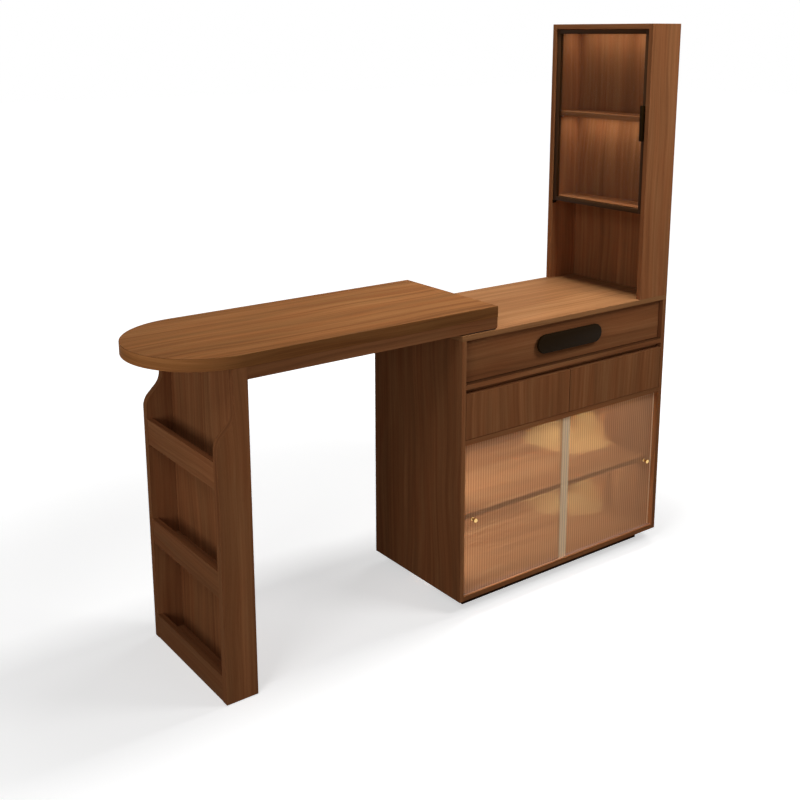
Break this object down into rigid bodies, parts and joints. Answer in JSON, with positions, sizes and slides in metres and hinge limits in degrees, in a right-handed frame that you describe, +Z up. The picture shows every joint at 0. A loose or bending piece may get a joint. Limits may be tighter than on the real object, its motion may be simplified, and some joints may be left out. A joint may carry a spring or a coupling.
{
  "type": "bar cabinet",
  "caption": "Bar cabinet with a display tower, drawers and sliding reeded glass doors, and a round-ended bar table on a magazine rack that slides over the worktop.",
  "frame": {"origin": "on the floor, below the middle of the object's bounding box with the table drawn out", "axes": "+X towards the tower end of the cabinet, +Y towards its back, +Z up"},
  "size_m": [2.0519, 0.5194, 2],
  "materials": {
    "walnut": "satin walnut veneer",
    "walnut_inside": "matt walnut melamine",
    "black_metal": "satin black",
    "reeded_glass": "reeded, clear with a warm tint",
    "door_glass": "polished",
    "brass": "brushed",
    "steel": "zinc plated",
    "brown_plastic": "matt",
    "nylon": "matt"
  },
  "bodies": {
    "cabinet": {"plinth_rails": "walnut_inside", "plinth_ends": "walnut_inside", "bottom_panel": "walnut", "left_side_panel": "walnut", "right_side_panel": "walnut", "worktop": "walnut", "cabinet_back_panel": "walnut_inside", "drawer_deck": "walnut", "centre_divider": "walnut_inside", "finger_rail": "walnut", "door_head_panel": "walnut", "inner_shelf": "walnut", "shelf_pins": "steel", "upper_track": "brown_plastic", "lower_track": "brown_plastic", "drawer_channels": "steel", "tower_front_side": "walnut", "tower_rear_side": "walnut", "tower_top": "walnut", "tower_back_panel": "walnut", "tower_lower_shelf": "walnut", "tower_mid_shelf": "walnut", "tower_shelf_pins": "steel", "tower_screws": "steel", "door_pivots": "black_metal"},
    "top_drawer": {"top_drawer_front": "walnut", "pull_base": "black_metal", "pull_plate": "black_metal", "top_drawer_box": "walnut_inside", "top_drawer_bottom": "walnut_inside", "top_drawer_slides": "steel"},
    "left_drawer": {"left_drawer_front": "walnut", "left_drawer_box": "walnut_inside", "left_drawer_bottom": "walnut_inside", "left_drawer_slides": "steel"},
    "right_drawer": {"right_drawer_front": "walnut", "right_drawer_box": "walnut_inside", "right_drawer_bottom": "walnut_inside", "right_drawer_slides": "steel"},
    "left_door": {"left_glass_door": "reeded_glass", "left_door_knob": "brass"},
    "right_door": {"right_glass_door": "reeded_glass", "right_door_knob": "brass"},
    "tower_door": {"door_hinge_stile": "black_metal", "door_handle_stile": "black_metal", "door_top_rail": "black_metal", "door_bottom_rail": "black_metal", "tower_door_glass": "door_glass", "tower_door_handle": "black_metal"},
    "bar_table": {"table_top": "walnut", "front_apron": "walnut", "rear_apron": "walnut", "end_apron": "walnut", "worktop_glides": "nylon", "rack_front_side": "walnut", "rack_rear_side": "walnut", "rack_back_panel": "walnut", "rack_floors": "walnut", "rack_lips": "walnut", "floor_glides": "nylon"}
  },
  "joints": [
    {"name": "top_drawer_slide", "type": "slide", "parent": "cabinet", "child": "top_drawer", "axis": [0, -1, 0], "range_m": [0, 0.35]},
    {"name": "left_drawer_slide", "type": "slide", "parent": "cabinet", "child": "left_drawer", "axis": [0, -1, 0], "range_m": [0, 0.35]},
    {"name": "right_drawer_slide", "type": "slide", "parent": "cabinet", "child": "right_drawer", "axis": [0, -1, 0], "range_m": [0, 0.35]},
    {"name": "left_door_slide", "type": "slide", "parent": "cabinet", "child": "left_door", "axis": [1, 0, 0], "range_m": [0, 0.415]},
    {"name": "right_door_slide", "type": "slide", "parent": "cabinet", "child": "right_door", "axis": [1, 0, 0], "range_m": [-0.415, 0]},
    {"name": "tower_door_hinge", "type": "hinge", "parent": "cabinet", "child": "tower_door", "pos_m": [0.885, 0.2227, 1.6495], "axis": [0, 0, -1], "range_deg": [0, 105]},
    {"name": "table_slide", "type": "slide", "parent": "cabinet", "child": "bar_table", "axis": [1, 0, 0], "range_m": [0, 0.69]}
  ]
}
